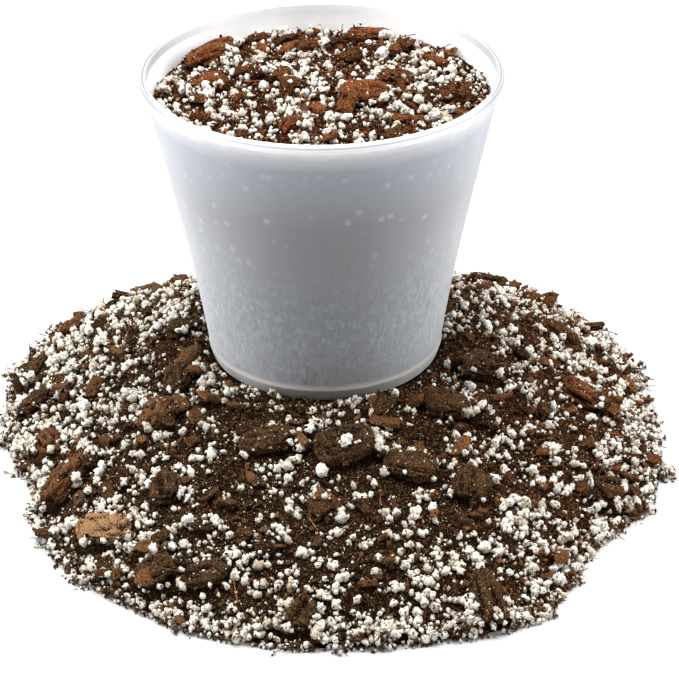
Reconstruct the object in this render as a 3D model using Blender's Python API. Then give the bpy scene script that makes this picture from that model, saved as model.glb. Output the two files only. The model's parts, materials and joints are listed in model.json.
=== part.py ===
"""A clear plastic nursery pot, full of bark and perlite potting mix, standing on a heap of the mix.

Metres, +Z up. The origin is on the pot's axis, on the ground that the heap lies on.
The pot is one thin moulding. The loose mix is two solids, one in the pot and one under it,
and the bark chips and perlite lumps that lie loose on top of them are pieces of their own.
"""
import math
import random

import bmesh
import bpy
from mathutils import Matrix, Vector, noise
from mathutils.bvhtree import BVHTree

# Pot, measured up from its foot
POT_HEIGHT = 0.0860
RIM_RADIUS = 0.0500
RIM_DEPTH = 0.0027
RIM_STEP = 0.0011
FOOT_RADIUS = 0.0326
FOOT_EDGE = 0.0013
UPPER_SLOPE = 0.2168
BEND_HEIGHT = 0.0300
BEND_LENGTH = 0.0060
WALL_LEVELS = (0.0100, 0.0180, 0.0240, BEND_HEIGHT, 0.0360, 0.0440, 0.0640)
WALL = 0.0009
FOOT_RIDGE_HEIGHT = 0.0037
FOOT_RIDGE = 0.0003
FLOOR_TOP = 0.0045

# Heap of mix under the pot
HEAP_HEIGHT = 0.0308
HEAP_PLATEAU = 0.0380
HEAP_LIP = 0.0024
HEAP_FALL = 1.45
HEAP_RINGS = 12
HEAP_EDGE = (0.0945, 0.0985, 0.1015, 0.1005, 0.0955, 0.0945, 0.0995, 0.1045, 0.1005,
             0.0915, 0.0875, 0.0965, 0.1015, 0.1065, 0.1075, 0.1085, 0.0955, 0.0975)
SEAT_DEPTH = 0.0011
SEAT_MARGIN = 0.0010
SEAT_BANK = 0.0006
LEVEL_RUN = 0.0100

# Mix in the pot
FILL_EDGE_DROP = 0.0080
FILL_CROWN = 0.0024
FILL_RINGS = 6

# All pieces
SEGMENTS = 72
GAP = 0.0003
WALL_STEP = 0.0004
BUMP_SIZE = 0.0130
BUMP_HEIGHT = 0.0011

# Large bark chips: x, y, length, width in millimetres, and the turn of the length in degrees
HEAP_CHIPS = (
    (-57, 74, 11, 7, 20), (-47, 79, 9, 6, 150), (-78, 50, 9, 6, 40), (-87, 26, 10, 7, 60),
    (-41, 8, 11, 6, 10), (-42, -20, 12, 8, 80), (-47, -33, 13, 10, 50), (-86, 7, 10, 7, 15),
    (-80, -17, 9, 8, 120), (-16, -52, 16, 8, 5), (5, -56, 18, 12, 15), (52, 72, 12, 8, 160),
    (65, 58, 9, 7, 30), (70, 26, 14, 7, 170), (44, -16, 17, 11, 20), (33, -36, 15, 10, 175),
    (73, -10, 12, 8, 160), (23, -61, 15, 9, 165), (-74, -40, 17, 11, 30), (-61, -65, 17, 9, 155),
    (-44, -60, 10, 9, 90), (-46, -83, 11, 8, 15), (-33, -88, 13, 7, 175), (-7, -102, 9, 8, 40), (39, -64, 11, 10, 70),
    (78, -46, 9, 8, 20), (41, -95, 15, 8, 105), (0, 66, 15, 9, 20), (32, 84, 12, 8, 130), (-22, 88, 13, 8, 60))
POT_CHIPS = (
    (-31, 27, 24, 7, 56), (-18, 37, 7, 5, 20), (-31, 3, 11, 8, 15), (-8, 35, 7, 5, 0),
    (14, 37, 13, 7, 5), (24, 31, 7, 5, 40), (11, -10, 14, 10, 160), (20, 2, 9, 8, 60), (32, 17, 9, 6, 130),
    (38, -3, 10, 7, 75), (-8, -25, 7, 5, 20), (20, -31, 8, 6, 45))
CHIP_THICKNESS = 0.36
HEAP_PERLITE = 8
POT_PERLITE = 6
PERLITE_SIZE = (0.0034, 0.0043)
GOLDEN_ANGLE = math.radians(137.5)


def make_material(name, colour, roughness, transmission=0.0):
    material = bpy.data.materials.new(name)
    material.use_nodes = True
    shader = material.node_tree.nodes["Principled BSDF"]
    shader.inputs["Base Color"].default_value = (*colour, 1.0)
    shader.inputs["Roughness"].default_value = roughness
    shader.inputs["Metallic"].default_value = 0.0
    shader.inputs["Transmission Weight"].default_value = transmission
    return material


def add_object(name, mesh_builder, material):
    mesh = bpy.data.meshes.new(name)
    mesh_builder.to_mesh(mesh)
    mesh_builder.free()
    mesh.materials.append(material)
    piece = bpy.data.objects.new(name, mesh)
    bpy.context.collection.objects.link(piece)
    return piece


def spin_outline(outline):
    """Turn a closed outline of (radius, height) points about the Z axis into a closed body."""
    body = bmesh.new()
    points = [body.verts.new((radius, 0.0, height)) for radius, height in outline]
    edges = [body.edges.new((a, b)) for a, b in zip(points, points[1:])]
    if outline[0][0] > 0.0:
        edges.append(body.edges.new((points[-1], points[0])))
    bmesh.ops.spin(body, geom=points + edges, cent=(0, 0, 0), axis=(0, 0, 1),
                   angle=math.tau, steps=SEGMENTS, use_merge=True)
    bmesh.ops.remove_doubles(body, verts=body.verts, dist=0.00001)
    bmesh.ops.recalc_face_normals(body, faces=body.faces)
    return body


def smooth_step(value):
    value = min(max(value, 0.0), 1.0)
    return value * value * (3.0 - 2.0 * value)


# --- Pot ------------------------------------------------------------------------------------

def wall_radius(height):
    """Outer radius of the tapered wall at a height above the foot, with its soft bend."""
    under_rim = RIM_RADIUS - RIM_STEP
    bend_radius = under_rim - UPPER_SLOPE * (POT_HEIGHT - RIM_DEPTH - BEND_HEIGHT)
    lower_slope = (bend_radius - FOOT_RADIUS) / BEND_HEIGHT
    above = height - BEND_HEIGHT
    blend = BEND_LENGTH * math.log1p(math.exp(-abs(above) / BEND_LENGTH)) + max(above, 0.0)
    return bend_radius + lower_slope * above + (UPPER_SLOPE - lower_slope) * blend


def pot_outline():
    rim_low = POT_HEIGHT - RIM_DEPTH
    mouth = wall_radius(rim_low) - WALL
    outer = [(wall_radius(level), level) for level in WALL_LEVELS]
    inner = [(radius - WALL, level) for radius, level in reversed(outer)]
    foot = [
        (wall_radius(0.0) - FOOT_EDGE - WALL, 0.0),
        (wall_radius(0.0) - FOOT_EDGE, 0.0),
        (wall_radius(0.0) - 0.3 * FOOT_EDGE, 0.3 * FOOT_EDGE),
        (wall_radius(FOOT_EDGE), FOOT_EDGE),
        (wall_radius(0.0031), 0.0031),
        (wall_radius(FOOT_RIDGE_HEIGHT) + FOOT_RIDGE, FOOT_RIDGE_HEIGHT),
        (wall_radius(0.0043), 0.0043)]
    rim = [
        (wall_radius(rim_low), rim_low),
        (RIM_RADIUS, rim_low + 0.0003),
        (RIM_RADIUS, POT_HEIGHT - 0.0006),
        (RIM_RADIUS - 0.0006, POT_HEIGHT),
        (mouth + 0.0005, POT_HEIGHT),
        (mouth, POT_HEIGHT - 0.0005),
        (mouth, rim_low)]
    floor = [
        (wall_radius(FLOOR_TOP) - WALL - 0.0012, FLOOR_TOP),
        (0.0, FLOOR_TOP),
        (0.0, FLOOR_TOP - WALL),
        (wall_radius(0.0) - FOOT_EDGE - WALL, FLOOR_TOP - WALL)]
    return foot + outer + rim + inner + floor


def build_pot(material):
    outline = pot_outline()
    axis_points = [i for i, point in enumerate(outline) if point[0] == 0.0]
    split = axis_points[0] + 1
    body = spin_outline(outline[split:] + outline[:split])
    body.transform(Matrix.Translation((0, 0, HEAP_HEIGHT)))
    return add_object("pot", body, material)


# --- Mix: the heap under the pot and the fill inside it --------------------------------------

def bump(x, y, seed):
    """Uneven surface of loose mix, from two sizes of smooth noise."""
    coarse = noise.noise(Vector((x / BUMP_SIZE, y / BUMP_SIZE, seed)))
    fine = noise.noise(Vector((2.3 * x / BUMP_SIZE, 2.3 * y / BUMP_SIZE, seed + 5.0)))
    return BUMP_HEIGHT * (coarse + 0.5 * fine)


def heap_edge_radius(angle):
    """Radius of the heap on the ground, a smooth closed curve through HEAP_EDGE."""
    count = len(HEAP_EDGE)
    place = (angle / math.tau * count) % count
    start = int(place)
    a, b, c, d = (HEAP_EDGE[(start + step) % count] for step in (-1, 0, 1, 2))
    t = place - start
    return 0.5 * (2 * b + (c - a) * t + (2 * a - 5 * b + 4 * c - d) * t ** 2 + (3 * b - a - 3 * c + d) * t ** 3)


def build_heap(material):
    seat_radius = FOOT_RADIUS + SEAT_MARGIN
    bank_radius = seat_radius + SEAT_BANK
    seat_top = HEAP_HEIGHT - GAP
    outline = [(0.0, seat_top), (seat_radius, seat_top), (bank_radius, seat_top + SEAT_DEPTH)]
    for ring in range(1, HEAP_RINGS + 1):
        outline.append((bank_radius + ring, seat_top))
    outline.append((bank_radius + HEAP_RINGS, 0.0))
    outline.append((0.0, 0.0))
    body = spin_outline(outline)
    for vertex in body.verts:
        radius = math.hypot(vertex.co.x, vertex.co.y)
        if radius < seat_radius + 0.001:
            continue
        angle = math.atan2(vertex.co.y, vertex.co.x)
        edge = heap_edge_radius(angle) + 1.5 * bump(0.05 * math.cos(angle), 0.05 * math.sin(angle), 9.0)
        part = (radius - bank_radius) / HEAP_RINGS
        on_ground = vertex.co.z == 0.0
        new_radius = bank_radius + (edge - bank_radius) * part
        vertex.co.x, vertex.co.y = new_radius * math.cos(angle), new_radius * math.sin(angle)
        if on_ground:
            continue
        fall = max(new_radius - HEAP_PLATEAU, 0.0) / (edge - HEAP_PLATEAU)
        slope = HEAP_LIP + (seat_top + SEAT_DEPTH - HEAP_LIP) * (1.0 - fall ** HEAP_FALL)
        calm = smooth_step((new_radius - seat_radius) / LEVEL_RUN) * (1.0 - 0.6 * smooth_step(8.0 * fall - 7.0))
        vertex.co.z = slope + calm * bump(vertex.co.x, vertex.co.y, 1.0)
    return add_object("mix_heap", body, material)


def build_fill(material):
    edge_height = POT_HEIGHT - FILL_EDGE_DROP
    bottom = FLOOR_TOP + GAP
    outline = [(0.0, bottom), (wall_radius(bottom) - WALL - 0.0020, bottom)]
    outline += [(wall_radius(level) - WALL - GAP, level) for level in (*WALL_LEVELS, edge_height)]
    edge_radius = outline[-1][0]
    outline += [(edge_radius * (1.0 - ring / FILL_RINGS), edge_height) for ring in range(1, FILL_RINGS + 1)]
    body = spin_outline(outline)
    for vertex in body.verts:
        if vertex.co.z < edge_height - 0.0001:
            continue
        radius = math.hypot(vertex.co.x, vertex.co.y)
        inside = 1.0 - radius / edge_radius
        if inside > 0.01:
            crown = FILL_CROWN * smooth_step(1.6 * inside)
            vertex.co.z += crown + smooth_step(4.0 * inside) * bump(vertex.co.x, vertex.co.y, 3.0)
    body.transform(Matrix.Translation((0, 0, HEAP_HEIGHT)))
    return add_object("mix_in_pot", body, material)


# --- Loose pieces that lie on the mix ---------------------------------------------------------

def chip_body(length, width, thickness, seed):
    """A broken slab of bark: an uneven outline at three levels, closed as a convex body."""
    draw = random.Random(seed)
    body = bmesh.new()
    corners = 8
    for level, spread in ((-0.5, 0.86), (0.05, 1.0), (0.5, 0.80)):
        for corner in range(corners):
            angle = math.tau * (corner + 0.5 * draw.random()) / corners
            reach = spread * draw.uniform(0.86, 1.06)
            lift = thickness * (level + draw.uniform(-0.12, 0.12))
            square = max(abs(math.cos(angle)), abs(math.sin(angle))) ** 0.7
            body.verts.new((0.5 * length * reach * math.cos(angle) / square,
                            0.5 * width * reach * math.sin(angle) / square, lift))
    hull = bmesh.ops.convex_hull(body, input=body.verts)
    bmesh.ops.delete(body, geom=list(set(hull["geom_interior"])), context="VERTS")
    bmesh.ops.triangulate(body, faces=body.faces)
    bmesh.ops.recalc_face_normals(body, faces=body.faces)
    return body


def perlite_body(size, seed):
    """A popped grain of perlite: a small uneven ball."""
    draw = random.Random(seed)
    body = bmesh.new()
    bmesh.ops.create_icosphere(body, subdivisions=1, radius=0.5 * size)
    for vertex in body.verts:
        vertex.co *= draw.uniform(0.82, 1.10)
    return body


class Ground:
    """What has been laid so far, so that the next loose piece comes to lie on top of it."""

    def __init__(self, pieces, wall):
        self.points = []
        self.faces = []
        self.wall = self.tree_of([wall])
        for piece in pieces:
            self.add(piece.data)

    @staticmethod
    def tree_of(pieces):
        points, faces = [], []
        for piece in pieces:
            start = len(points)
            points += [vertex.co.copy() for vertex in piece.data.vertices]
            faces += [[start + index for index in face.vertices] for face in piece.data.polygons]
        return BVHTree.FromPolygons(points, faces)

    def add(self, mesh):
        start = len(self.points)
        self.points += [vertex.co.copy() for vertex in mesh.vertices]
        self.faces += [[start + index for index in face.vertices] for face in mesh.polygons]
        self.tree = BVHTree.FromPolygons(self.points, self.faces)

    def normal_at(self, x, y):
        return self.tree.ray_cast(Vector((x, y, 0.3)), Vector((0, 0, -1)))[1]

    def settle(self, body, x, y, inward):
        """Move the body to x, y, off the pot's wall, and down until it lies just clear of the ground."""
        body.transform(Matrix.Translation((x, y, 0.2)))
        away = Vector((x, y, 0)).normalized() * (-WALL_STEP if inward else WALL_STEP)
        for _ in range(40):
            self.lower(body)
            grown = body.copy()
            bmesh.ops.scale(grown, vec=(1.1, 1.1, 1.1), verts=grown.verts,
                            space=Matrix.Translation(-self.centre(body)))
            touches = BVHTree.FromBMesh(grown).overlap(self.wall)
            grown.free()
            if not touches:
                return
            body.transform(Matrix.Translation(away + Vector((0, 0, 0.08))))

    @staticmethod
    def centre(body):
        return sum((vertex.co for vertex in body.verts), Vector()) / len(body.verts)

    def lower(self, body):
        down, up = Vector((0, 0, -1)), Vector((0, 0, 1))
        own = BVHTree.FromBMesh(body)
        lowest = min(vertex.co.z for vertex in body.verts)
        middle = self.centre(body)
        reach = max((vertex.co.xy - middle.xy).length for vertex in body.verts)
        falls = [self.tree.ray_cast(vertex.co, down)[3] for vertex in body.verts]
        for point in self.points:
            if (point.xy - middle.xy).length < reach and point.z < lowest:
                falls.append(own.ray_cast(point, up)[3])
        drop = min(fall for fall in falls if fall is not None) - 1.5 * GAP
        body.transform(Matrix.Translation((0, 0, -drop)))
        while BVHTree.FromBMesh(body).overlap(self.tree):
            body.transform(Matrix.Translation((0, 0, GAP)))


def lay_chips(group, places, ground, inward, material):
    for number, (x, y, length, width, turn) in enumerate(places, 1):
        x, y, length, width = (0.001 * value for value in (x, y, length, width))
        body = chip_body(length, width, CHIP_THICKNESS * width, f"{group}{number}")
        tilt = Vector((0, 0, 1)).rotation_difference(ground.normal_at(x, y)).to_matrix().to_4x4()
        body.transform(tilt @ Matrix.Rotation(math.radians(turn), 4, "Z"))
        ground.settle(body, x, y, inward)
        chip = add_object(f"{group}_{number:02d}", body, material)
        ground.add(chip.data)


def lay_perlite(group, count, ground, inward, reach, material):
    """The largest lumps, spread over a ring of the ground by equal turns of the golden angle."""
    draw = random.Random(group)
    for number in range(1, count + 1):
        angle = number * GOLDEN_ANGLE
        radius = reach[0] + (reach[1] - reach[0]) * math.sqrt((number - 0.5) / count)
        body = perlite_body(draw.uniform(*PERLITE_SIZE), f"{group}{number}")
        ground.settle(body, radius * math.cos(angle), radius * math.sin(angle), inward)
        lump = add_object(f"{group}_{number:02d}", body, material)
        ground.add(lump.data)


def build():
    for old in list(bpy.data.objects):
        bpy.data.objects.remove(old, do_unlink=True)
    plastic = make_material("clear_plastic", (0.80, 0.82, 0.85), 0.35, 0.5)
    mix = make_material("potting_mix", (0.075, 0.038, 0.022), 0.9)
    bark = make_material("bark", (0.120, 0.050, 0.028), 0.85)
    perlite = make_material("perlite", (0.80, 0.77, 0.71), 0.8)

    pot = build_pot(plastic)
    pot.data.shade_smooth()
    pot.data.set_sharp_from_angle(angle=math.radians(35))
    heap_ground = Ground([build_heap(mix)], pot)
    fill_ground = Ground([build_fill(mix)], pot)
    lay_chips("heap_chip", HEAP_CHIPS, heap_ground, False, bark)
    lay_chips("pot_chip", POT_CHIPS, fill_ground, True, bark)
    lay_perlite("heap_perlite", HEAP_PERLITE, heap_ground, False, (0.040, 0.086), perlite)
    lay_perlite("pot_perlite", POT_PERLITE, fill_ground, True, (0.004, 0.041), perlite)


build()
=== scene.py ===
import json
import math

import bpy
import numpy as np
from mathutils import Matrix, Vector, noise
from mathutils.bvhtree import BVHTree

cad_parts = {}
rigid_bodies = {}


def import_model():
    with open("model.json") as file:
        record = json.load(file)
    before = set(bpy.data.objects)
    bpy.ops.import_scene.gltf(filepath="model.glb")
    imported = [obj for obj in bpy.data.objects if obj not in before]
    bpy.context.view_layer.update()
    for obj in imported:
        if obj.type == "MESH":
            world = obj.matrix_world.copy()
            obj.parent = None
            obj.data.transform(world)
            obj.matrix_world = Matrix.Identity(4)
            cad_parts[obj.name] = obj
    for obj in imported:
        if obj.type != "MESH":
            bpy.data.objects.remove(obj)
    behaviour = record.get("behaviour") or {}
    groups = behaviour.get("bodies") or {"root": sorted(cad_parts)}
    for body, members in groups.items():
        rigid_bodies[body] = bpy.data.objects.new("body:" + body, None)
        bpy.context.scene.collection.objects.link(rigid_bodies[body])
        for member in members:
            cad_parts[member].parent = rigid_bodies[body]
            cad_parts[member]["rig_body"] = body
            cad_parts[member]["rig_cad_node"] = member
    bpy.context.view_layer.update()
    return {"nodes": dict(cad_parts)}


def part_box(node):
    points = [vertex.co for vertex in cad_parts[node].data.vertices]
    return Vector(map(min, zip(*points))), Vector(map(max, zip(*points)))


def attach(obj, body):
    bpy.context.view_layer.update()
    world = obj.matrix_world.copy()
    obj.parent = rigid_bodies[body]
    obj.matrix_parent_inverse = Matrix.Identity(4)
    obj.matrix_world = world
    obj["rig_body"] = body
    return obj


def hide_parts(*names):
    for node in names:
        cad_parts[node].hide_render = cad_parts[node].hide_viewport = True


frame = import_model()

# --- Camera, floor and light ----------------------------------------------------------------------
# A long lens looks down on the pot from the front, over a plain pale table that the light turns white.
# One wide lamp overhead gives the soft light, and two tall ones beside the pot light its edges.

LENS = 147.1
CAMERA_PLACE = (0.0, -0.700, 0.4203)
LOOK_DOWN = 28.93
LOOK_ASIDE = -0.33
CAMERA_ROLL = -0.66
TABLE_TONE = (0.52, 0.52, 0.52, 1.0)
ROOM_LIGHT = 0.46

camera_data = bpy.data.cameras.new("camera")
camera_data.sensor_width = 36.0
camera_data.lens = LENS
camera_data.clip_start = 0.01
camera = bpy.data.objects.new("camera", camera_data)
bpy.context.scene.collection.objects.link(camera)
camera.matrix_world = (
    Matrix.Translation(CAMERA_PLACE)
    @ Matrix.Rotation(math.radians(LOOK_ASIDE), 4, "Z")
    @ Matrix.Rotation(math.radians(90.0 - LOOK_DOWN), 4, "X")
    @ Matrix.Rotation(math.radians(CAMERA_ROLL), 4, "Z"))
bpy.context.scene.camera = camera
bpy.context.scene.view_settings.view_transform = "Standard"

bpy.ops.object.select_all(action="DESELECT")
bpy.ops.mesh.primitive_plane_add(size=30.0, location=(0.0, 0.0, -0.0001))
floor = bpy.context.object
floor.name = "floor"
floor_paint = bpy.data.materials.new("floor_paint")
floor_paint.use_nodes = True
floor_shader = floor_paint.node_tree.nodes["Principled BSDF"]
floor_shader.inputs["Base Color"].default_value = TABLE_TONE
floor_shader.inputs["Roughness"].default_value = 0.7
floor.data.materials.append(floor_paint)

world = bpy.data.worlds.new("studio")
world.use_nodes = True
world.node_tree.nodes["Background"].inputs["Color"].default_value = (1.0, 1.0, 1.0, 1.0)
world.node_tree.nodes["Background"].inputs["Strength"].default_value = ROOM_LIGHT
bpy.context.scene.world = world


def add_lamp(name, place, size, power, aim=(0.0, 0.0, 0.06)):
    """A flat square-cornered lamp at a place, turned to face the aim; power in watts."""
    lamp_data = bpy.data.lights.new(name, "AREA")
    lamp_data.shape = "RECTANGLE"
    lamp_data.size, lamp_data.size_y = size
    lamp_data.energy = power
    lamp = bpy.data.objects.new(name, lamp_data)
    bpy.context.scene.collection.objects.link(lamp)
    lamp.location = place
    lamp.rotation_euler = (Vector(aim) - Vector(place)).to_track_quat("-Z", "Y").to_euler()


add_lamp("lamp_overhead", (-0.08, -0.06, 1.10), (0.7, 0.7), 18.0)
add_lamp("lamp_left", (-0.90, 0.10, 0.45), (0.5, 0.8), 11.5)
add_lamp("lamp_right", (0.95, 0.15, 0.45), (0.5, 0.8), 11.5)

# --- The pot --------------------------------------------------------------------------------------
# One thin injection moulding in frosted polypropylene: a wall that flares more above a soft bend,
# a square rolled rim, and a floor raised inside a short foot skirt.

foot_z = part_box("pot")[0].z
rim_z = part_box("pot")[1].z
rim_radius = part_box("pot")[1].x
POT_STEPS = 192
WALL_THICKNESS = 0.0009
RIM_DEPTH = 0.0027
RIM_STEP = 0.0011
FOOT_RADIUS = 0.0326
BEND_HEIGHT = 0.030
BEND_LENGTH = 0.006
UPPER_SLOPE = 0.2168
MIX_DROP = 0.0070
BAND_WAVE = 0.0016
SPOTS_PER_METRE = 190.0
MOTTLE_SIZE = 0.0022
STREAK_WIDTH = 0.00070


def pot_wall_radius(height):
    """Outer radius of the wall at a height above the foot."""
    under_rim = rim_radius - RIM_STEP
    bend_radius = under_rim - UPPER_SLOPE * (rim_z - foot_z - RIM_DEPTH - BEND_HEIGHT)
    lower_slope = (bend_radius - FOOT_RADIUS) / BEND_HEIGHT
    above = height - BEND_HEIGHT
    blend = BEND_LENGTH * math.log1p(math.exp(-abs(above) / BEND_LENGTH)) + max(above, 0.0)
    return bend_radius + lower_slope * above + (UPPER_SLOPE - lower_slope) * blend


def turn_outline(name, outline, steps):
    """A disc at the outline's first point, extruded from point to point; its last face closes the body."""
    bpy.ops.object.select_all(action="DESELECT")
    bpy.ops.mesh.primitive_circle_add(vertices=steps, radius=outline[0][0], fill_type="NGON",
                                      location=(0, 0, outline[0][1]))
    turned = bpy.context.object
    turned.name = name
    bpy.ops.object.transform_apply(location=True, rotation=True, scale=True)
    bpy.ops.object.mode_set(mode="EDIT")
    bpy.ops.mesh.select_mode(type="FACE")
    bpy.ops.mesh.select_all(action="SELECT")
    for (radius, height), (next_radius, next_height) in zip(outline, outline[1:]):
        bpy.ops.mesh.extrude_region_move(TRANSFORM_OT_translate={"value": (0, 0, next_height - height)})
        share = next_radius / radius
        bpy.ops.transform.resize(value=(share, share, 1.0), center_override=(0, 0, next_height))
    bpy.ops.mesh.select_all(action="SELECT")
    bpy.ops.mesh.normals_make_consistent(inside=False)
    bpy.ops.object.mode_set(mode="OBJECT")
    return turned


pot_height = rim_z - foot_z
rim_low = pot_height - RIM_DEPTH
mouth_radius = pot_wall_radius(rim_low) - WALL_THICKNESS
foot_radius = pot_wall_radius(0.0)
pot_outline = [
    (0.0060, 0.0036), (0.0200, 0.0036), (foot_radius - 0.0032, 0.0036), (foot_radius - 0.0024, 0.0030),
    (foot_radius - 0.0022, 0.0004), (foot_radius - 0.0019, 0.0), (foot_radius - 0.0013, 0.0),
    (foot_radius - 0.0006, 0.0002), (foot_radius - 0.0001, 0.0007), (pot_wall_radius(0.0014), 0.0014),
    (pot_wall_radius(0.0030), 0.0030), (pot_wall_radius(0.0034) + 0.0002, 0.0034),
    (pot_wall_radius(0.0037) + 0.0003, 0.0037), (pot_wall_radius(0.0041) + 0.0002, 0.0041),
    (pot_wall_radius(0.0045), 0.0045)]
wall_levels = [0.007 + 0.0035 * step for step in range(22)]
pot_outline += [(pot_wall_radius(level), level) for level in wall_levels]
pot_outline += [
    (pot_wall_radius(rim_low - 0.0003), rim_low - 0.0003), (pot_wall_radius(rim_low) + 0.0004, rim_low),
    (rim_radius - 0.0002, rim_low + 0.0002), (rim_radius, rim_low + 0.0005),
    (rim_radius, pot_height - 0.0006), (rim_radius - 0.0002, pot_height - 0.0002),
    (rim_radius - 0.0006, pot_height),
    (rim_radius - 0.0009, pot_height - 0.0005), (rim_radius - 0.0012, pot_height - 0.0001),
    (mouth_radius + 0.0005, pot_height), (mouth_radius + 0.0001, pot_height - 0.0002),
    (mouth_radius, pot_height - 0.0006), (mouth_radius, rim_low + 0.0004)]
pot_outline += [(pot_wall_radius(level) - WALL_THICKNESS, level) for level in reversed(wall_levels)]
pot_outline += [(pot_wall_radius(0.0045) - 0.0021, 0.0045), (0.0060, 0.0045)]
pot_outline = [(radius, foot_z + height) for radius, height in pot_outline]
pot = turn_outline("nursery_pot", pot_outline, POT_STEPS)
bpy.ops.object.shade_smooth_by_angle(angle=math.radians(40))

plastic = bpy.data.materials.new("frosted_polypropylene")
plastic.use_nodes = True
nodes, links = plastic.node_tree.nodes, plastic.node_tree.links
shader = nodes["Principled BSDF"]
shader.inputs["Roughness"].default_value = 0.32
shader.inputs["IOR"].default_value = 1.49
shader.inputs["Sheen Weight"].default_value = 1.0
shader.inputs["Sheen Roughness"].default_value = 0.45
shader.inputs["Sheen Tint"].default_value = (0.93, 0.96, 1.0, 1.0)
place = nodes.new("ShaderNodeTexCoord")
apart = nodes.new("ShaderNodeSeparateXYZ")
links.new(place.outputs["Object"], apart.inputs["Vector"])


def add_ramp(nodes, stops, source, links):
    """A colour ramp through (position, colour) stops, fed by a socket."""
    ramp = nodes.new("ShaderNodeValToRGB")
    while len(ramp.color_ramp.elements) < len(stops):
        ramp.color_ramp.elements.new(0.5)
    for element, (position, colour) in zip(ramp.color_ramp.elements, stops):
        element.position = position
        element.color = (*colour, 1.0)
    links.new(source, ramp.inputs["Fac"])
    return ramp


def add_range(nodes, links, source, low, high, to_low=0.0, to_high=1.0):
    """A clamped map of a socket's value from one range to another."""
    stretch = nodes.new("ShaderNodeMapRange")
    stretch.inputs["From Min"].default_value = low
    stretch.inputs["From Max"].default_value = high
    stretch.inputs["To Min"].default_value = to_low
    stretch.inputs["To Max"].default_value = to_high
    links.new(source, stretch.inputs["Value"])
    return stretch.outputs["Result"]


def add_mix(nodes, links, share, first, second, blend="MIX"):
    """A colour mix; each side is a socket or a plain colour."""
    mix = nodes.new("ShaderNodeMix")
    mix.data_type = "RGBA"
    mix.blend_type = blend
    for index, value in ((0, share), (6, first), (7, second)):
        if isinstance(value, bpy.types.NodeSocket):
            links.new(value, mix.inputs[index])
        elif index == 0:
            mix.inputs[index].default_value = value
        else:
            mix.inputs[index].default_value = (*value, 1.0)
    return mix.outputs[2]


def add_noise(nodes, links, vector, size, detail=4.0, roughness=0.6, stretch=(1.0, 1.0, 1.0)):
    """Noise whose features are about size metres wide; stretch above 1 draws them out along that axis."""
    scale = nodes.new("ShaderNodeMapping")
    scale.inputs["Scale"].default_value = tuple(1.0 / (size * value) for value in stretch)
    links.new(vector, scale.inputs["Vector"])
    texture = nodes.new("ShaderNodeTexNoise")
    texture.inputs["Scale"].default_value = 1.0
    texture.inputs["Detail"].default_value = detail
    texture.inputs["Roughness"].default_value = roughness
    links.new(scale.outputs["Vector"], texture.inputs["Vector"])
    return texture.outputs["Fac"]


object_place = place.outputs["Object"]
height = apart.outputs["Z"]
unevenness = add_noise(nodes, links, object_place, 0.0060, detail=3.0)
wavy_height = nodes.new("ShaderNodeMath")
wavy_height.operation = "MULTIPLY_ADD"
links.new(unevenness, wavy_height.inputs[0])
wavy_height.inputs[1].default_value = BAND_WAVE
links.new(height, wavy_height.inputs[2])
# The outer wall's colour by height is painted light and shade: darker at the foot with a painted highlight
# line at its step, painted shade where the dark mix stands behind the milky plastic, lighter toward and above
# the mix top where light comes through, and painted highlight and shade bands on the rolled rim.
wall_painted_light_and_shade = add_ramp(nodes, (
    (0.00, (0.330, 0.300, 0.280)), (0.041, (0.300, 0.280, 0.265)), (0.048, (0.470, 0.440, 0.410)),
    (0.056, (0.420, 0.400, 0.380)), (0.064, (0.262, 0.276, 0.293)), (0.30, (0.212, 0.228, 0.243)),
    (0.68, (0.197, 0.202, 0.215)), (0.84, (0.265, 0.281, 0.323)), (0.90, (0.300, 0.316, 0.360)),
    (0.945, (0.520, 0.535, 0.575)), (0.970, (0.84, 0.85, 0.87)), (0.977, (0.98, 0.98, 0.99)),
    (0.984, (0.88, 0.89, 0.90)), (0.990, (0.98, 0.98, 0.99)), (1.00, (0.86, 0.87, 0.89))),
    add_range(nodes, links, wavy_height.outputs[0], foot_z + 0.0008, foot_z + pot_height + 0.0008), links)
# Pale spots paint the perlite behind the wall, seen as light through the plastic.
spot_place = nodes.new("ShaderNodeMapping")
spot_place.inputs["Scale"].default_value = (SPOTS_PER_METRE,) * 3
links.new(object_place, spot_place.inputs["Vector"])
spots = nodes.new("ShaderNodeTexVoronoi")
spots.inputs["Scale"].default_value = 1.0
links.new(spot_place.outputs["Vector"], spots.inputs["Vector"])
# Noise for the lower wall's painted light: cloudy patches of painted light through the plastic, and upright
# streaks for a painted reflection of the heap.
mottle = add_noise(nodes, links, object_place, MOTTLE_SIZE, detail=5.0, roughness=0.75)
reflection_streak_noise = add_noise(nodes, links, object_place, STREAK_WIDTH, detail=3.0, stretch=(1.0, 1.0, 7.0))
painted_see_through_spots = add_mix(nodes, links, add_range(nodes, links, spots.outputs["Distance"], 0.26, 0.06, 0.0, 0.40),
                  wall_painted_light_and_shade.outputs["Color"], (0.48, 0.48, 0.48))
low_wall = add_range(nodes, links, height, foot_z + 0.052, foot_z + 0.026)
width = nodes.new("ShaderNodeMath")
width.operation = "ABSOLUTE"
links.new(apart.outputs["X"], width.inputs[0])
# The painted reflection streaks grow stronger toward the pot's left and right sides as seen.
painted_side_strength = add_range(nodes, links, width.outputs[0], 0.020, 0.034, 0.30, 1.0)


def add_product(first, second):
    """One socket's value times another's."""
    product = nodes.new("ShaderNodeMath")
    product.operation = "MULTIPLY"
    links.new(first, product.inputs[0])
    links.new(second, product.inputs[1])
    return product.outputs[0]


# The lower wall is painted with the heap's reflection: light grey streaks, bluish cloudy patches of painted
# light and dark brown streaks.
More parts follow.
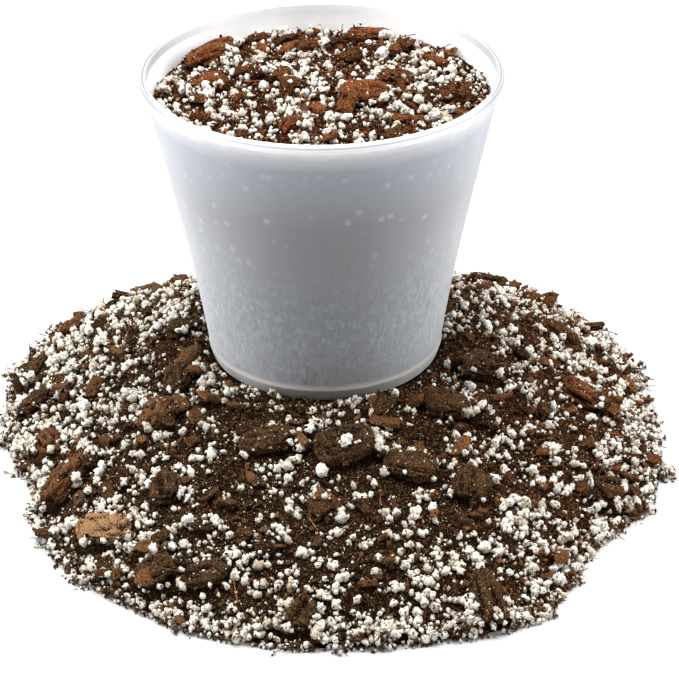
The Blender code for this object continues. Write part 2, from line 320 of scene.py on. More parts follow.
painted_light_streaks = add_product(add_range(nodes, links, reflection_streak_noise, 0.54, 0.68, 0.0, 0.55), painted_side_strength)
painted_dark_streaks = add_product(add_range(nodes, links, reflection_streak_noise, 0.46, 0.34), painted_side_strength)
painted_cloudy_light = add_mix(nodes, links, add_range(nodes, links, mottle, 0.48, 0.72, 0.0, 0.65),
                  wall_painted_light_and_shade.outputs["Color"], (0.375, 0.415, 0.480))
lighter = add_mix(nodes, links, painted_light_streaks, painted_cloudy_light, (0.56, 0.56, 0.56))
painted_reflection_streaks = add_mix(nodes, links, painted_dark_streaks, lighter, (0.140, 0.120, 0.098))
# The filled part of the wall: painted see-through spots above, the painted reflection below.
painted_filled_wall = add_mix(nodes, links, low_wall, painted_see_through_spots, painted_reflection_streaks)
foot_and_rim = add_ramp(nodes, (
    (0.060, (1, 1, 1)), (0.068, (0, 0, 0)), (0.950, (0, 0, 0)), (0.965, (1, 1, 1))),
    add_range(nodes, links, height, foot_z, foot_z + pot_height), links)
outer_wall = add_mix(nodes, links, foot_and_rim.outputs["Color"], painted_filled_wall, wall_painted_light_and_shade.outputs["Color"])
from_axis = nodes.new("ShaderNodeVectorMath")
from_axis.operation = "LENGTH"
flat_place = nodes.new("ShaderNodeVectorMath")
flat_place.operation = "MULTIPLY"
flat_place.inputs[1].default_value = (1.0, 1.0, 0.0)
links.new(object_place, flat_place.inputs[0])
links.new(flat_place.outputs[0], from_axis.inputs[0])
upper_line = nodes.new("ShaderNodeMath")
upper_line.operation = "MULTIPLY_ADD"
links.new(height, upper_line.inputs[0])
upper_line.inputs[1].default_value = -UPPER_SLOPE
links.new(from_axis.outputs["Value"], upper_line.inputs[2])
line_radius = pot_wall_radius(rim_low) - UPPER_SLOPE * (foot_z + rim_low)
inner_side = add_range(nodes, links, upper_line.outputs[0], line_radius - 0.0004, line_radius - 0.0006)
both_walls = add_mix(nodes, links, inner_side, outer_wall, (0.88, 0.885, 0.895))
# Painted shade lines on the near-white rim top, by radius: at the mouth's edge, over the groove and at the
# outer edge.
rim_painted_lines = add_ramp(nodes, (
    (0.00, (0.86, 0.87, 0.89)), (0.16, (0.54, 0.55, 0.57)), (0.24, (0.86, 0.87, 0.89)),
    (0.46, (0.84, 0.85, 0.87)), (0.54, (0.48, 0.49, 0.51)), (0.62, (0.86, 0.87, 0.89)),
    (0.82, (0.76, 0.77, 0.79)), (1.00, (0.46, 0.47, 0.49))),
    add_range(nodes, links, from_axis.outputs["Value"], mouth_radius, rim_radius), links)
rim_top = add_range(nodes, links, height, rim_z - 0.0010, rim_z - 0.0007)
wall_and_rim = add_mix(nodes, links, rim_top, both_walls, rim_painted_lines.outputs["Color"])
# Painted shade: the rim is darkened at its left and right ends, where the side lamps light it most.
rim_ends_painted_shade = add_product(add_range(nodes, links, width.outputs[0], 0.030, 0.046),
                       add_range(nodes, links, height, foot_z + rim_low, foot_z + rim_low + 0.0004))
wall_colour = add_mix(nodes, links, rim_ends_painted_shade, wall_and_rim, (0.52, 0.525, 0.535), "MULTIPLY")
links.new(wall_colour, shader.inputs["Base Color"])
draw_marks = add_noise(nodes, links, object_place, 0.0040, detail=2.0, stretch=(1.0, 1.0, 12.0))
bump = nodes.new("ShaderNodeBump")
bump.inputs["Strength"].default_value = 0.25
bump.inputs["Distance"].default_value = 0.0003
links.new(draw_marks, bump.inputs["Height"])
links.new(bump.outputs["Normal"], shader.inputs["Normal"])
pot.data.materials.append(plastic)
rim_plastic = plastic.copy()
rim_plastic.name = "rim_polypropylene"
rim_plastic.node_tree.nodes["Principled BSDF"].inputs["Sheen Weight"].default_value = 0.1
pot.data.materials.append(rim_plastic)
for face in pot.data.polygons:
    if face.center.z > foot_z + rim_low:
        face.material_index = 1
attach(pot, "root")
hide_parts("pot")

# --- The body of the mix --------------------------------------------------------------------------
# Damp bark fines and peat fibre pressed together: the ground that all loose grains lie on.
# The heap's surface and the pot's fill are the frame's own solids, cut finer and roughened.

MIX_ROUGHNESS = 0.0006
CLOD_SIZE = 0.004
EDGE_LOW = 0.0018
EDGE_TAPER = 0.006
FILL_HEIGHT = 0.08


def own_copy(node_name, name):
    """A merged copy of a frame solid, ready to be worked on."""
    bpy.ops.object.select_all(action="DESELECT")
    copy = frame["nodes"][node_name].copy()
    copy.data = copy.data.copy()
    copy.name = name
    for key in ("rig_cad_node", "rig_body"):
        if key in copy:
            del copy[key]
    copy.parent = None
    copy.data.materials.clear()
    bpy.context.scene.collection.objects.link(copy)
    copy.select_set(True)
    bpy.context.view_layer.objects.active = copy
    bpy.ops.object.mode_set(mode="EDIT")
    bpy.ops.mesh.select_all(action="SELECT")
    bpy.ops.mesh.remove_doubles(threshold=0.00001)
    bpy.ops.object.mode_set(mode="OBJECT")
    return copy


def rough_ground(node_name, name, cuts):
    """The upward faces of a solid cut finer and moved up and down by fine noise."""
    ground = own_copy(node_name, name)
    for face in ground.data.polygons:
        face.select = face.normal.z > 0.15
    bpy.ops.object.mode_set(mode="EDIT")
    bpy.ops.mesh.select_mode(type="FACE")
    bpy.ops.object.mode_set(mode="OBJECT")
    for face in ground.data.polygons:
        face.select = face.normal.z > 0.15
    bpy.ops.object.mode_set(mode="EDIT")
    bpy.ops.mesh.subdivide(number_cuts=cuts)
    bpy.ops.object.mode_set(mode="OBJECT")
    upward = [vertex.normal.z > 0.3 for vertex in ground.data.vertices]
    for vertex, faces_up in zip(ground.data.vertices, upward):
        if faces_up:
            vertex.co.z *= min(max((vertex.co.z - EDGE_LOW) / EDGE_TAPER, 0.05), 1.0)
            rise = MIX_ROUGHNESS * noise.fractal(vertex.co / CLOD_SIZE, 0.8, 2.0, 4)
            vertex.co.z = max(vertex.co.z + rise, 0.0001)
    bpy.ops.object.shade_smooth()
    return ground


def add_flecks(nodes, links, place, colour):
    """Tiny tan flecks, and painted shade in the pits, over a brown, redder to the heap's right and in the
    pot.
    """
    flecks = add_noise(nodes, links, place, 0.00042, detail=3.0, roughness=0.6)
    flecked = add_mix(nodes, links, add_range(nodes, links, flecks, 0.57, 0.68, 0.0, 0.80), colour,
                      (0.32, 0.180, 0.080))
    # The near-black in the pits of the bump is painted shade.
    pit_shaded = add_mix(nodes, links, add_range(nodes, links, flecks, 0.47, 0.37), flecked,
                     (0.006, 0.003, 0.002))
    side = nodes.new("ShaderNodeSeparateXYZ")
    links.new(place, side.inputs["Vector"])
    redder = nodes.new("ShaderNodeMath")
    redder.operation = "MAXIMUM"
    links.new(add_range(nodes, links, side.outputs["X"], 0.010, 0.085, 0.0, 0.7), redder.inputs[0])
    links.new(add_range(nodes, links, side.outputs["Z"], FILL_HEIGHT, FILL_HEIGHT + 0.020), redder.inputs[1])
    return add_mix(nodes, links, redder.outputs[0], pit_shaded, (1.32, 0.98, 0.84), "MULTIPLY"), flecks


def mix_material(name, dark, brown, red):
    """Bark fines: dark crumbs with warmer brown and reddish ones among them, and a fine rough grain."""
    material = bpy.data.materials.new(name)
    material.use_nodes = True
    nodes, links = material.node_tree.nodes, material.node_tree.links
    shader = nodes["Principled BSDF"]
    shader.inputs["Roughness"].default_value = 0.9
    shader.inputs["Specular IOR Level"].default_value = 0.05
    place = nodes.new("ShaderNodeTexCoord").outputs["Object"]
    tone = nodes.new("ShaderNodeAttribute")
    tone.attribute_name = "tone"
    fine = add_noise(nodes, links, place, 0.0008, detail=5.0, roughness=0.7)
    broad = add_noise(nodes, links, place, 0.018, detail=2.0)
    total = nodes.new("ShaderNodeMath")
    total.operation = "MULTIPLY_ADD"
    links.new(fine, total.inputs[0])
    total.inputs[1].default_value = 0.8
    links.new(tone.outputs["Fac"], total.inputs[2])
    drifted = nodes.new("ShaderNodeMath")
    drifted.operation = "MULTIPLY_ADD"
    links.new(broad, drifted.inputs[0])
    drifted.inputs[1].default_value = 0.4
    links.new(total.outputs[0], drifted.inputs[2])
    ramp = add_ramp(nodes, ((0.25, dark), (0.58, brown), (1.0, red)),
                    add_range(nodes, links, drifted.outputs[0], 0.1, 1.9), links)
    colour, flecks = add_flecks(nodes, links, place, ramp.outputs["Color"])
    links.new(colour, shader.inputs["Base Color"])
    bump = nodes.new("ShaderNodeBump")
    bump.inputs["Strength"].default_value = 1.0
    bump.inputs["Distance"].default_value = 0.0005
    links.new(flecks, bump.inputs["Height"])
    links.new(bump.outputs["Normal"], shader.inputs["Normal"])
    return material


crumb_material = mix_material("damp_bark_fines", (0.007, 0.0035, 0.0015), (0.054, 0.026, 0.010),
                              (0.250, 0.122, 0.044))
heap_ground = rough_ground("mix_heap", "heap_body", 2)
fill_ground = rough_ground("mix_in_pot", "fill_body", 2)
for ground, node_name in ((heap_ground, "mix_heap"), (fill_ground, "mix_in_pot")):
    ground.data.materials.append(crumb_material)
    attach(ground, "root")
    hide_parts(node_name)

# --- Large bark chips -----------------------------------------------------------------------------
# Broken pieces of pine bark, cork-like and layered, with ridges along their length.
# Each takes the place and size of its solid in the frame.

BARK_CUTS = 5
BARK_RELIEF = 0.0010
GROOVE_WIDTH = 0.0017
GROOVE_DRAW = 0.90
RIGHT_SIDE = 0.045
LEFT_SIDE = -0.05


def bark_material(name, dark, light):
    """Layered bark: long ridges with painted light on top and painted shade in the grooves between, with a
    fine fibre.
    """
    material = bpy.data.materials.new(name)
    material.use_nodes = True
    nodes, links = material.node_tree.nodes, material.node_tree.links
    shader = nodes["Principled BSDF"]
    shader.inputs["Roughness"].default_value = 0.9
    shader.inputs["Specular IOR Level"].default_value = 0.05
    place = nodes.new("ShaderNodeTexCoord").outputs["Object"]
    # The point tone, lighter on the ridges and darker in the grooves, is painted light and shade.
    ridge_shading = nodes.new("ShaderNodeAttribute")
    ridge_shading.attribute_name = "tone"
    fine = add_noise(nodes, links, place, 0.0009, detail=5.0, roughness=0.7)
    total = nodes.new("ShaderNodeMath")
    total.operation = "ADD"
    links.new(fine, total.inputs[0])
    links.new(ridge_shading.outputs["Fac"], total.inputs[1])
    ramp = add_ramp(nodes, ((0.25, dark), (0.75, light)),
                    add_range(nodes, links, total.outputs[0], 0.45, 1.35), links)
    colour, flecks = add_flecks(nodes, links, place, ramp.outputs["Color"])
    links.new(colour, shader.inputs["Base Color"])
    bump = nodes.new("ShaderNodeBump")
    bump.inputs["Strength"].default_value = 1.0
    bump.inputs["Distance"].default_value = 0.0010
    links.new(flecks, bump.inputs["Height"])
    links.new(bump.outputs["Normal"], shader.inputs["Normal"])
    return material


bark_dark = bark_material("bark_dark", (0.006, 0.003, 0.002), (0.064, 0.038, 0.017))
bark_red = bark_material("bark_red", (0.010, 0.004, 0.002), (0.160, 0.070, 0.029))
bark_brown = bark_material("bark_brown", (0.008, 0.004, 0.002), (0.080, 0.043, 0.019))
bark_light = bark_material("bark_light", (0.060, 0.028, 0.014), (0.40, 0.22, 0.11))


def set_tone(piece, tones):
    """A value for each point, which the materials read for tone."""
    attribute = piece.data.attributes.new("tone", "FLOAT", "POINT")
    attribute.data.foreach_set("value", np.asarray(tones, np.float32))


def rough_bark(chip, seed):
    """Ridges along the chip's longest side, deeper where the noise is low."""
    points = np.array([vertex.co for vertex in chip.data.vertices])
    middle = points.mean(0)
    long_way = np.linalg.svd(points - middle)[2][0]
    tones = []
    normals = [vertex.normal.copy() for vertex in chip.data.vertices]
    for vertex, normal in zip(chip.data.vertices, normals):
        along = (vertex.co - Vector(middle)).dot(Vector(long_way))
        place = vertex.co - Vector(long_way) * along * GROOVE_DRAW
        ridge = 0.7 - 2.2 * abs(noise.fractal(place / GROOVE_WIDTH + Vector((seed, 0, 0)), 0.6, 2.1, 4))
        vertex.co += normal * BARK_RELIEF * ridge
        # The tone follows the ridges, so the material paints light on them and shade in the grooves.
        tones.append(0.5 + 0.5 * ridge)
    set_tone(chip, tones)


chip_nodes = sorted(name for name in frame["nodes"] if "_chip_" in name)
bark_chips = []
for number, node_name in enumerate(chip_nodes):
    chip = own_copy(node_name, node_name + "_bark")
    bpy.ops.object.mode_set(mode="EDIT")
    bpy.ops.mesh.subdivide(number_cuts=BARK_CUTS, smoothness=0.15)
    bpy.ops.object.mode_set(mode="OBJECT")
    rough_bark(chip, 3.7 * number)
    bpy.ops.object.shade_smooth_by_angle(angle=math.radians(50))
    low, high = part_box(node_name)
    reddish = low.z > FILL_HEIGHT or low.x > RIGHT_SIDE or low.x < LEFT_SIDE < low.y
    kinds = (bark_red, bark_brown) if reddish else (bark_dark, bark_brown)
    chip.data.materials.append(bark_light if node_name == "heap_chip_20" else kinds[number % 2])
    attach(chip, "root")
    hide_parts(node_name)
    bark_chips.append(chip)

# --- Loose grains ---------------------------------------------------------------------------------
# The mix as it was poured: crumbs and fibres of peat and bark fines, with popped white perlite among
# them. Each grain is dropped on what lies there already, on the heap, in the pot and at the heap's edge.

CELL = 0.0005
HEAP_REACH = 0.116
EDGE_SPILL = 0.0085
EDGE_BELT = 0.080
GRAIN_REACH = 0.113
POT_SIDE = 0.033
FILL_REACH = 0.0472
FILL_AMOUNT = 0.22
TRIES = 12
draw = np.random.default_rng(11)


def joined_tree(pieces):
    """One search tree over the surfaces of several pieces."""
    points, faces = [], []
    for piece in pieces:
        start = len(points)
        points += [vertex.co.copy() for vertex in piece.data.vertices]
        faces += [[start + index for index in face.vertices] for face in piece.data.polygons]
    return BVHTree.FromPolygons(points, faces)


class Bed:
    """A map of the highest surface so far, on a square grid of cells, on which grains are dropped."""

    def __init__(self, ground, chips, reach, top):
        self.reach = reach
        self.count = int(2 * reach / CELL)
        tree = joined_tree([ground])
        chip_tree = joined_tree(chips)
        self.height = np.full((self.count, self.count), -1.0)
        self.on_chip = np.zeros((self.count, self.count), bool)
        down = Vector((0, 0, -1))
        for row in range(self.count):
            y = (row + 0.5) * CELL - reach
            for column in range(self.count):
                x = (column + 0.5) * CELL - reach
                hit = tree.ray_cast(Vector((x, y, top)), down)[0]
                if hit is not None:
                    self.height[row, column] = hit.z
                hit = chip_tree.ray_cast(Vector((x, y, top)), down)[0]
                if hit is not None and hit.z > self.height[row, column]:
                    self.height[row, column] = hit.z
                    self.on_chip[row, column] = True

    def lowest_near(self, x, y, reach):
        """Of a few places near x, y, the lowest: a grain rolls into a hollow."""
        offsets = draw.uniform(-reach, reach, (5, 2))
        places = [(x + dx, y + dy) for dx, dy in offsets]
        cells = ((offsets + (x, y) + self.reach) / CELL).astype(int).clip(0, self.count - 1)
        heights = self.height[cells[:, 1], cells[:, 0]]
        heights[heights < 0] = 1.0
        return places[int(heights.argmin())]

    def drop(self, x, y, radius, sink):
        """The height of a grain's middle when it comes to rest at x, y; the map rises where it lies."""
        column, row = (x + self.reach) / CELL, (y + self.reach) / CELL
        cells = int(math.ceil(radius / CELL))
        c0, c1 = max(int(column) - cells, 0), min(int(column) + cells + 1, self.count)
        r0, r1 = max(int(row) - cells, 0), min(int(row) + cells + 1, self.count)
        dx = (np.arange(c0, c1) + 0.5 - column) * CELL
        dy = (np.arange(r0, r1) + 0.5 - row) * CELL
        dome = radius ** 2 - dx[None, :] ** 2 - dy[:, None] ** 2
        inside = dome > 0
        if not inside.any():
            return None
        cap = np.sqrt(np.where(inside, dome, 0.0))
        patch = self.height[r0:r1, c0:c1]
        under = patch[inside]
        if under.min() < 0:
            return None
        middle = 0.55 * (under + cap[inside]).max() + 0.45 * (under.mean() + radius) - sink * radius
        patch[inside] = np.maximum(under, middle + cap[inside])
        return middle

    def open_floor(self, least, most):
        """Bare floor by the heap's edge also takes grains, up to a distance that wanders along the edge."""
        mixed = self.height >= 0
        distance = np.full(mixed.shape, 1.0)
        cells = int(most / CELL)
        for row in range(-cells, cells + 1):
            for column in range(-cells, cells + 1):
                away = CELL * math.hypot(row, column)
                if away <= most:
                    near = np.roll(mixed, (row, column), (0, 1))
                    distance[near] = np.minimum(distance[near], away)
        for row, column in np.argwhere((distance <= most) & ~mixed):
            wander = noise.noise(Vector((0.06 * row, 0.06 * column, 3.0))) + 0.6 * noise.noise(
                Vector((0.25 * row, 0.25 * column, 6.0)))
            if distance[row, column] < least + (most - least) * max(wander, 0.0):
                self.height[row, column] = 0.0

    def clear_of_chips(self, x, y):
        return not self.on_chip[int((y + self.reach) / CELL), int((x + self.reach) / CELL)]

    def close_ring(self, low, high):
        """Nothing may lie between these two radii."""
        line = (np.arange(self.count) + 0.5) * CELL - self.reach
        radius = np.hypot(line[None, :], line[:, None])
        self.height[(radius > low) & (radius < high)] = -1.0


def grain_shape(name, offset, squeeze, seed, subdivisions=1):
    """One grain about the origin, one metre in radius: a ball pushed out of round, or a wedge."""
    bpy.ops.object.select_all(action="DESELECT")
    if subdivisions:
        bpy.ops.mesh.primitive_ico_sphere_add(subdivisions=subdivisions, radius=1.0)
    else:
        bpy.ops.mesh.primitive_cylinder_add(vertices=3, radius=1.05, depth=1.5)
    grain = bpy.context.object
    grain.name = name
    bpy.ops.object.mode_set(mode="EDIT")
    bpy.ops.mesh.select_all(action="SELECT")
    bpy.ops.transform.vertex_random(offset=offset, uniform=0.3, normal=0.7, seed=seed)
    bpy.ops.transform.resize(value=squeeze)
    bpy.ops.object.mode_set(mode="OBJECT")
    return take_shape(grain)


def take_shape(grain):
    """The grain's points and triangles, and the model is put away."""
    grain.data.calc_loop_triangles()
    points = np.array([vertex.co for vertex in grain.data.vertices])
    triangles = np.array([triangle.vertices for triangle in grain.data.loop_triangles])
    bpy.data.objects.remove(grain, do_unlink=True)
    return points, triangles


def bark_bit_shape(seed):
    """A small flake of bark: a slab with its faces cut once and its corners broken."""
    bpy.ops.object.select_all(action="DESELECT")
    bpy.ops.mesh.primitive_cube_add(size=2.0)
    bit = bpy.context.object
    bpy.ops.object.mode_set(mode="EDIT")
    bpy.ops.mesh.select_all(action="SELECT")
    bpy.ops.mesh.subdivide(number_cuts=1, smoothness=0.6)
    bpy.ops.transform.vertex_random(offset=0.42, uniform=0.6, normal=0.4, seed=seed)
    bpy.ops.transform.resize(value=(0.80, 0.50, 0.26))
    bpy.ops.object.mode_set(mode="OBJECT")
    return take_shape(bit)


def fibre_shape(seed):
    """A thin stalk of three sides, bent at two places."""
    bpy.ops.object.select_all(action="DESELECT")
    bpy.ops.mesh.primitive_cylinder_add(vertices=3, radius=0.05, depth=2.0, rotation=(0, math.pi / 2, 0))
    stalk = bpy.context.object
    bpy.ops.object.transform_apply(location=False, rotation=True, scale=False)
    bpy.ops.object.mode_set(mode="EDIT")
    for cut in (-0.35, 0.35):
        bpy.ops.mesh.select_all(action="SELECT")
        bpy.ops.mesh.bisect(plane_co=(cut, 0, 0), plane_no=(1, 0, 0))
    bpy.ops.object.mode_set(mode="OBJECT")
    for vertex in stalk.data.vertices:
        bend = noise.noise(Vector((1.1 * vertex.co.x, seed, 0.3)))
        side = noise.noise(Vector((1.3 * vertex.co.x, seed, 7.1)))
        vertex.co.y += 0.25 * bend
        vertex.co.z += 0.06 * side
    return take_shape(stalk)


crumb_shapes = [grain_shape("crumb", 0.42, (1.0, 0.80, 0.60), seed) for seed in range(8)]
fine_shapes = [grain_shape("fine_crumb", 0.40, (1.0, 0.80, 0.65), 80 + seed, 0) for seed in range(6)]
perlite_shapes = [grain_shape("perlite", 0.34, (1.0, 0.84, 0.74), 20 + seed, 2) for seed in range(8)]
small_perlite_shapes = [grain_shape("small_perlite", 0.35, (1.0, 0.85, 0.78), 40 + seed) for seed in range(6)]
bark_bit_shapes = [bark_bit_shape(60 + seed) for seed in range(5)]
fibre_shapes = [fibre_shape(2.3 * seed) for seed in range(5)]


def perlite_share(x, y):
    """How much of the surface is perlite: in drifts, more at the edge and left, less before the pot."""
    drift = noise.noise(Vector((x / 0.016, y / 0.016, 2.0)))
    drift += 0.5 * noise.noise(Vector((x / 0.007, y / 0.007, 5.0)))
    radius = math.hypot(x, y)
    rim = max(0.0, (radius - 0.078) / 0.020)
    left = max(0.0, (-x - 0.030) / 0.050)
    front = max(0.0, 1.0 - math.hypot(x - 0.002, y + 0.056) / 0.032)
    return 0.50 + 1.00 * drift + 0.45 * rim + 0.40 * left - 0.12 * front


def pot_perlite_share(x, y):
    """The same for the mix in the pot, in smaller drifts."""
    drift = noise.noise(Vector((x / 0.012, y / 0.012, 8.0)))
    drift += 0.5 * noise.noise(Vector((x / 0.006, y / 0.006, 4.0)))
    return 0.55 + 0.8 * drift


def anywhere(x, y):
    """The share of a kind that lies everywhere alike."""
    return 1.0


def lay_grains(bed, kinds, inner, outer):
    """Drops every kind's grains in one shuffled order; gives for each kind the places, sizes and tones."""
    order = np.concatenate([np.full(kind["count"], index) for index, kind in enumerate(kinds)])
    first = np.concatenate([draw.random(kind["count"]) + kind["layer"] for kind in kinds])
    order = order[np.argsort(first, kind="stable")]
    laid = [[] for kind in kinds]
    for index in order:
        kind = kinds[index]
        for attempt in range(TRIES):
            radius = math.sqrt(inner ** 2 + (outer ** 2 - inner ** 2) * draw.random())
            angle = math.tau * draw.random()
            x, y = radius * math.cos(angle), radius * math.sin(angle)
            chance = draw.random()
            if kind["share"](x, y) < chance:
                continue
            low, high = kind["size"]
            size = low + (high - low) * draw.random() ** kind["bias"]
            x, y = bed.lowest_near(x, y, 1.6 * size)
            if math.hypot(x, y) + size > outer:
                continue
            if chance > kind["on_chips"] and not bed.clear_of_chips(x, y):
                continue
            z = bed.drop(x, y, size * kind["foot"], kind["sink"])
            if z is not None:
                laid[index].append((x, y, z, size, draw.random()))
                break
    return laid


def turned(count, lie_flat):
    """Random turns; those that lie flat turn about Z and tip only a little."""
    spin = draw.random(count) * math.tau
    tip = draw.normal(0.0, 0.30, count) if lie_flat else np.arccos(1 - 2 * draw.random(count))
    roll = draw.random(count) * math.tau if not lie_flat else draw.normal(0.0, 0.35, count)
    cs, ss, ct, st, cr, sr = np.cos(spin), np.sin(spin), np.cos(tip), np.sin(tip), np.cos(roll), np.sin(roll)
    zero, one = np.zeros(count), np.ones(count)
    about_z = np.array([[cs, -ss, zero], [ss, cs, zero], [zero, zero, one]]).transpose(2, 0, 1)
    about_y = np.array([[ct, zero, st], [zero, one, zero], [-st, zero, ct]]).transpose(2, 0, 1)
    about_x = np.array([[one, zero, zero], [zero, cr, -sr], [zero, sr, cr]]).transpose(2, 0, 1)
    return about_z @ about_y @ about_x


def grain_piece(name, grains, shapes, lie_flat, material, smooth):
    """All grains of one kind as one mesh, each a turned and scaled copy of one of the shapes."""
    grains = np.array(grains)
    turns = turned(len(grains), lie_flat)
    stretch = 1.0 + 0.18 * draw.normal(0.0, 1.0, (len(grains), 3)).clip(-1.5, 1.5)
    pick = draw.integers(0, len(shapes), len(grains))
    points, triangles, tones = [], [], []
    start = 0
    for number, (grain_points, grain_triangles) in enumerate(shapes):
        chosen = np.flatnonzero(pick == number)
        scaled = grain_points[None] * (stretch[chosen] * grains[chosen, 3:4])[:, None, :]
        moved = np.einsum("nij,nkj->nki", turns[chosen], scaled) + grains[chosen, None, :3]
        moved[:, :, 2] = np.maximum(moved[:, :, 2], 0.00002)
        each = len(grain_points)
        points.append(moved.reshape(-1, 3))
        firsts = start + each * np.arange(len(chosen))
        triangles.append((grain_triangles[None] + firsts[:, None, None]).reshape(-1, 3))
        tones.append(np.repeat(grains[chosen, 4], each))
        start += each * len(chosen)
    points, triangles = np.concatenate(points), np.concatenate(triangles)
    mesh = bpy.data.meshes.new(name)
    mesh.vertices.add(len(points))
    mesh.vertices.foreach_set("co", points.astype(np.float32).ravel())
    mesh.loops.add(3 * len(triangles))
    mesh.loops.foreach_set("vertex_index", triangles.astype(np.int32).ravel())
    mesh.polygons.add(len(triangles))
    mesh.polygons.foreach_set("loop_start", np.arange(0, 3 * len(triangles), 3, dtype=np.int32))
    mesh.update(calc_edges=True)
    mesh.polygons.foreach_set("use_smooth", np.full(len(triangles), smooth))
    piece = bpy.data.objects.new(name, mesh)
    bpy.context.scene.collection.objects.link(piece)
    set_tone(piece, np.concatenate(tones))
    mesh.materials.append(material)
    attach(piece, "root")
    return piece


def perlite_material():
    """Popped perlite: cream white and matt, with painted shade in its pits and a dusting of brown."""
    material = bpy.data.materials.new("perlite")
    material.use_nodes = True
    nodes, links = material.node_tree.nodes, material.node_tree.links
    shader = nodes["Principled BSDF"]
    shader.inputs["Roughness"].default_value = 0.75
    shader.inputs["Specular IOR Level"].default_value = 0.3
    place = nodes.new("ShaderNodeTexCoord").outputs["Object"]
    tone = nodes.new("ShaderNodeAttribute")
    tone.attribute_name = "tone"
    pits = add_noise(nodes, links, place, 0.0007, detail=3.0, roughness=0.6)
    dust = add_noise(nodes, links, place, 0.0025, detail=4.0, roughness=0.7)
    body = add_ramp(nodes, (
        (0.0, (0.42, 0.36, 0.27)), (0.22, (0.66, 0.62, 0.53)), (1.0, (0.765, 0.745, 0.685))),
        tone.outputs["Fac"], links)
    # The dark brown in the pits of the bump is painted shade.
    pit_shaded = add_mix(nodes, links, add_range(nodes, links, pits, 0.46, 0.38), body.outputs["Color"],
                     (0.16, 0.09, 0.055))
    dusted = add_mix(nodes, links, add_range(nodes, links, dust, 0.62, 0.75), pit_shaded, (0.30, 0.19, 0.13))
    links.new(dusted, shader.inputs["Base Color"])
    bump = nodes.new("ShaderNodeBump")
    bump.inputs["Strength"].default_value = 0.9
    bump.inputs["Distance"].default_value = 0.0004
    links.new(pits, bump.inputs["Height"])
    links.new(bump.outputs["Normal"], shader.inputs["Normal"])
    return material


perlite_paint = perlite_material()
splinter_material = mix_material("pale_splinters", (0.10, 0.045, 0.020), (0.28, 0.12, 0.05),
                                 (0.50, 0.27, 0.13))
bit_material = mix_material("bark_bits", (0.008, 0.004, 0.0015), (0.064, 0.030, 0.012),
                            (0.180, 0.083, 0.033))


def grain_kind(name, shapes, count, size, bias, foot, sink, layer, share, paint, on_chips=0.0):
    """Sizes are radii in metres; foot is footprint against size; on_chips the share let lie on bark."""
    slot = "perlite" if "perlite" in name else "bark" if name == "bark_bits" else "potting_mix"
    return dict(name=name, shapes=shapes, count=count, size=size, bias=bias, foot=foot, sink=sink,
                layer=layer, share=share, material=paint, slot=slot, on_chips=on_chips)


def grain_kinds(share, amount):
    """The kinds in the mix, with amount 1 for the whole heap."""
    return [
        grain_kind("crumbs_under", crumb_shapes, int(3600 * amount), (0.0005, 0.0012), 1.5, 0.85, 0.55, 0.0,
                   anywhere, crumb_material),
        grain_kind("crumbs_over", crumb_shapes, int(5000 * amount), (0.00030, 0.0009), 1.6, 0.85, 0.40, 0.7,
                   anywhere, crumb_material, 0.12),
        grain_kind("crumbs_fine", fine_shapes, int(13000 * amount), (0.00018, 0.00050), 1.4, 0.85, 0.30, 1.0,
                   anywhere, bit_material, 0.45),
        grain_kind("perlite", perlite_shapes, int(2050 * amount), (0.0008, 0.0016), 1.3, 0.85, 0.60, 0.75,
                   share, perlite_paint),
        grain_kind("perlite_small", small_perlite_shapes, int(3900 * amount), (0.0003, 0.0009), 1.2, 0.90,
                   0.40, 0.95, share, perlite_paint, 0.05),
        grain_kind("perlite_specks", fine_shapes, int(6000 * amount), (0.00010, 0.00030), 1.5, 1.0, 0.1, 1.2,
                   anywhere, perlite_paint, 0.7),
        grain_kind("bark_bits", bark_bit_shapes, int(400 * amount), (0.0011, 0.0034), 2.3, 0.70, 0.50, 0.7,
                   anywhere, bit_material),
        grain_kind("fibres", fibre_shapes, int(2000 * amount), (0.0010, 0.0032), 1.8, 0.20, 0.0, 1.0,
                   anywhere, bit_material, 0.3),
        grain_kind("splinters", fibre_shapes, int(240 * amount), (0.0012, 0.0034), 1.5, 0.20, 0.0, 1.3,
                   anywhere, splinter_material, 0.5),
    ]


def edge_kinds():
    """More small grains where the heap runs out on the ground."""
    return [
        grain_kind("edge_crumbs", crumb_shapes, 2600, (0.0003, 0.0010), 1.6, 0.85, 0.3, 0.0, near_edge,
                   crumb_material),
        grain_kind("edge_perlite", small_perlite_shapes, 1700, (0.0003, 0.0013), 1.5, 0.9, 0.3, 0.0,
                   near_edge, perlite_paint),
    ]


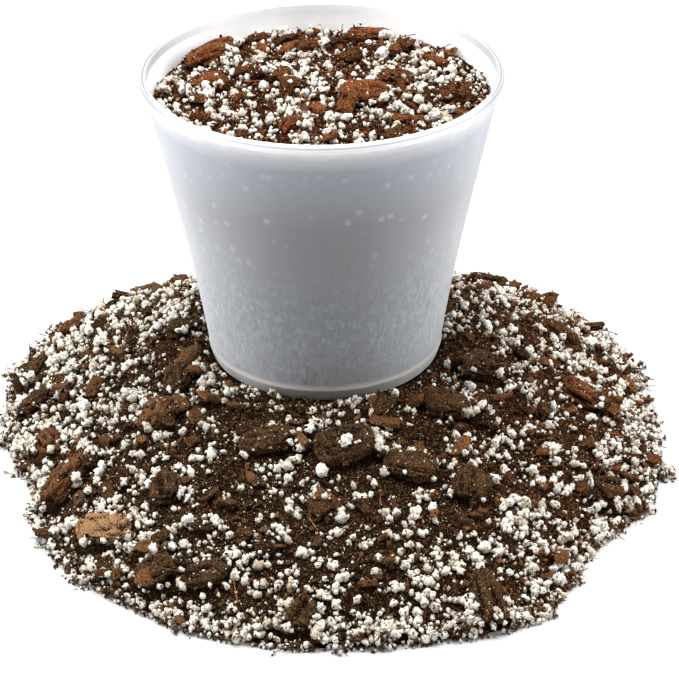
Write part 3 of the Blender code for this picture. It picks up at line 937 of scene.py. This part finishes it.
def near_edge(x, y):
    """All of a kind on the bare ground at the heap's edge, and some on the lowest slope."""
    column, row = int((x + HEAP_REACH) / CELL), int((y + HEAP_REACH) / CELL)
    level = heap_bed.height[row, column]
    return 1.0 if 0.0 <= level < 0.0015 else 0.35 if 0.0 < level < 0.0055 else 0.0


heap_bed = Bed(heap_ground, [chip for chip in bark_chips if chip.name.startswith("heap")], HEAP_REACH, 0.06)
heap_bed.open_floor(0.0024, EDGE_SPILL)
heap_bed.close_ring(0.0, pot_wall_radius(0.003) + 0.0004)
pot_bed = Bed(fill_ground, [chip for chip in bark_chips if chip.name.startswith("pot")], 0.050, 0.13)
pot_bed.close_ring(pot_wall_radius(pot_height - MIX_DROP) - WALL_THICKNESS - 0.0002, 1.0)
for where, bed, kinds, inner, outer in (
        ("heap", heap_bed, edge_kinds(), EDGE_BELT, GRAIN_REACH),
        ("heap", heap_bed, grain_kinds(perlite_share, 1.0), POT_SIDE, GRAIN_REACH),
        ("pot", pot_bed, grain_kinds(pot_perlite_share, FILL_AMOUNT), 0.0, FILL_REACH)):
    for kind, grains in zip(kinds, lay_grains(bed, kinds, inner, outer)):
        flat = kind["name"] in ("bark_bits", "fibres", "splinters")
        grain_piece(f"{where}_{kind['name']}", grains, kind["shapes"], flat, kind["material"],
                    kind["slot"] == "perlite")

# --- The largest perlite lumps --------------------------------------------------------------------
# Popped lumps that lie on top, each in the place of its own solid in the frame.

LUMP_RELIEF = 0.0010

for number, node_name in enumerate(sorted(name for name in frame["nodes"] if "_perlite_" in name)):
    lump = own_copy(node_name, node_name + "_lump")
    bpy.ops.object.mode_set(mode="EDIT")
    bpy.ops.mesh.subdivide(number_cuts=4, smoothness=0.7)
    bpy.ops.object.mode_set(mode="OBJECT")
    normals = [vertex.normal.copy() for vertex in lump.data.vertices]
    for vertex, normal in zip(lump.data.vertices, normals):
        vertex.co += normal * LUMP_RELIEF * (noise.fractal(vertex.co / 0.0014, 0.6, 2.0, 3) - 0.15)
    set_tone(lump, [0.8] * len(lump.data.vertices))
    bpy.ops.object.shade_smooth()
    lump.data.materials.append(perlite_paint)
    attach(lump, "root")
    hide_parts(node_name)
